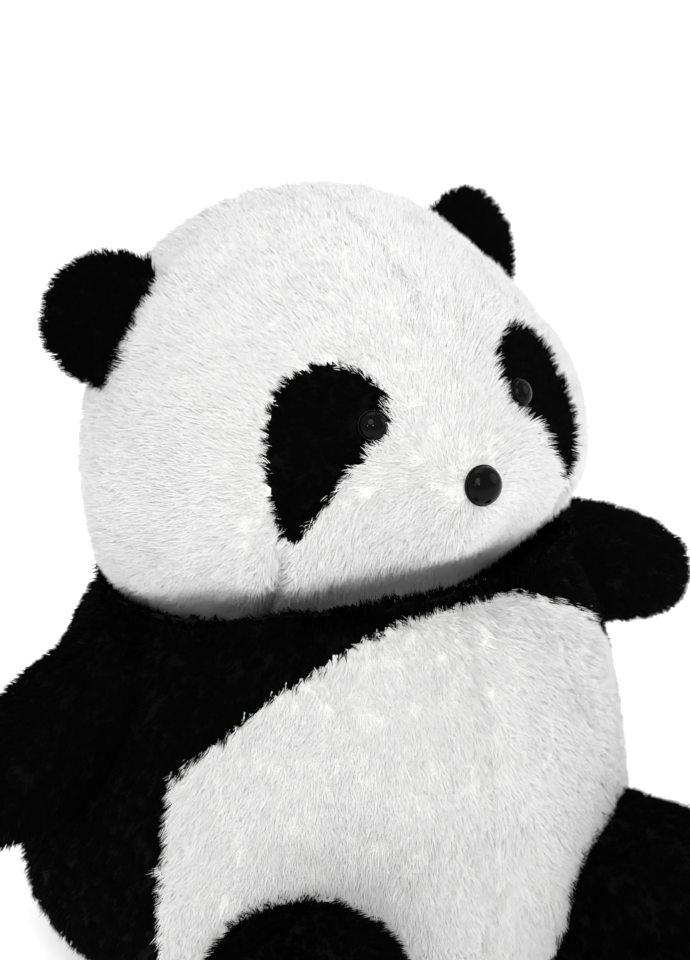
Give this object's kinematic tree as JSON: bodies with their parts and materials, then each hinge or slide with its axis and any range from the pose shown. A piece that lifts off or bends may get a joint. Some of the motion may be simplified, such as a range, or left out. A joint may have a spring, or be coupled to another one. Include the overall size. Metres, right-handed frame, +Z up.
{
  "type": "plush panda",
  "caption": "Sitting long-pile plush panda with big round head, paddle arms held out, black limbs, yoke and eye patches, and a flat seat to rest on.",
  "frame": {"origin": "on the ground, at the middle of the flat seat, below the head's turning axis", "axes": "+Z up; the panda faces -Y; its left side is +X"},
  "size_m": [0.5806, 0.559, 0.5108],
  "materials": {
    "white_plush": "long soft white pile, matte",
    "black_plush": "long soft black pile, matte",
    "black_gloss_plastic": "polished black",
    "washer_plastic": "moulded, natural white",
    "stuffing": "loose polyester fibre",
    "pellet_cloth": "plain woven bag",
    "seam_tape": "woven tape"
  },
  "bodies": {
    "torso": {"chest_yoke": "black_plush", "left_belly_panel": "white_plush", "right_belly_panel": "white_plush", "left_back_panel": "black_plush", "right_back_panel": "black_plush", "seat_panel": "black_plush", "body_stuffing": "stuffing", "pellet_bag": "pellet_cloth"},
    "neck": {"neck_stuffing": "stuffing"},
    "head": {"head_stuffing": "stuffing", "left_face_panel": "white_plush", "left_cheek_panel": "white_plush", "left_back_head_panel": "white_plush", "left_eye_patch": "black_plush", "left_eye": "black_gloss_plastic", "left_eye_washer": "washer_plastic", "right_face_panel": "white_plush", "right_cheek_panel": "white_plush", "right_back_head_panel": "white_plush", "right_eye_patch": "black_plush", "right_eye": "black_gloss_plastic", "right_eye_washer": "washer_plastic", "nose": "black_gloss_plastic", "nose_washer": "washer_plastic"},
    "left_ear": {"left_ear_front_panel": "black_plush", "left_ear_back_panel": "black_plush", "left_ear_wadding": "stuffing"},
    "left_shoulder": {"left_shoulder_tape": "seam_tape"},
    "left_arm": {"left_arm_front_panel": "black_plush", "left_arm_back_panel": "black_plush", "left_arm_stuffing": "stuffing"},
    "left_leg": {"left_leg_upper_panel": "black_plush", "left_leg_under_panel": "black_plush", "left_sole": "black_plush", "left_leg_stuffing": "stuffing"},
    "right_ear": {"right_ear_front_panel": "black_plush", "right_ear_back_panel": "black_plush", "right_ear_wadding": "stuffing"},
    "right_shoulder": {"right_shoulder_tape": "seam_tape"},
    "right_arm": {"right_arm_front_panel": "black_plush", "right_arm_back_panel": "black_plush", "right_arm_stuffing": "stuffing"},
    "right_leg": {"right_leg_upper_panel": "black_plush", "right_leg_under_panel": "black_plush", "right_sole": "black_plush", "right_leg_stuffing": "stuffing"},
    "tail": {"tail_left_panel": "white_plush", "tail_right_panel": "white_plush", "tail_wadding": "stuffing"}
  },
  "joints": [
    {"name": "head_turn", "type": "hinge", "parent": "torso", "child": "neck", "pos_m": [0, 0, 0.375], "axis": [0, 0, 1], "range_deg": [-20, 20], "stiffness_Nm_per_rad": 6},
    {"name": "head_nod", "type": "hinge", "parent": "neck", "child": "head", "pos_m": [0, 0, 0.375], "axis": [1, 0, 0], "range_deg": [-10, 12], "stiffness_Nm_per_rad": 8},
    {"name": "left_arm_raise", "type": "hinge", "parent": "torso", "child": "left_shoulder", "pos_m": [0.158, 0, 0.234], "axis": [0, -1, 0], "range_deg": [-8, 40], "stiffness_Nm_per_rad": 2},
    {"name": "left_arm_swing", "type": "hinge", "parent": "left_shoulder", "child": "left_arm", "pos_m": [0.158, 0, 0.234], "axis": [-0.309, 0, -0.9511], "range_deg": [-20, 20], "stiffness_Nm_per_rad": 2},
    {"name": "left_leg_lift", "type": "hinge", "parent": "torso", "child": "left_leg", "pos_m": [0.115, -0.15, 0.0625], "axis": [-0.9397, -0.342, 0], "range_deg": [0, 25], "stiffness_Nm_per_rad": 4},
    {"name": "left_ear_fold", "type": "hinge", "parent": "head", "child": "left_ear", "pos_m": [0.126, 0.032, 0.44], "axis": [0.4331, -0.1395, -0.8905], "range_deg": [-20, 35], "stiffness_Nm_per_rad": 0.4},
    {"name": "right_arm_raise", "type": "hinge", "parent": "torso", "child": "right_shoulder", "pos_m": [-0.156, 0, 0.219], "axis": [0, 1, 0], "range_deg": [-8, 40], "stiffness_Nm_per_rad": 2},
    {"name": "right_arm_swing", "type": "hinge", "parent": "right_shoulder", "child": "right_arm", "pos_m": [-0.156, 0, 0.219], "axis": [-0.5, 0, 0.866], "range_deg": [-20, 20], "stiffness_Nm_per_rad": 2},
    {"name": "right_leg_lift", "type": "hinge", "parent": "torso", "child": "right_leg", "pos_m": [-0.115, -0.15, 0.0625], "axis": [-0.9397, 0.342, 0], "range_deg": [0, 25], "stiffness_Nm_per_rad": 4},
    {"name": "right_ear_fold", "type": "hinge", "parent": "head", "child": "right_ear", "pos_m": [-0.126, 0.032, 0.44], "axis": [0.4331, 0.1395, 0.8905], "range_deg": [-20, 35], "stiffness_Nm_per_rad": 0.4},
    {"name": "tail_lift", "type": "hinge", "parent": "torso", "child": "tail", "pos_m": [0, 0.186, 0.078], "axis": [1, 0, 0], "range_deg": [-12, 25], "stiffness_Nm_per_rad": 0.4}
  ]
}
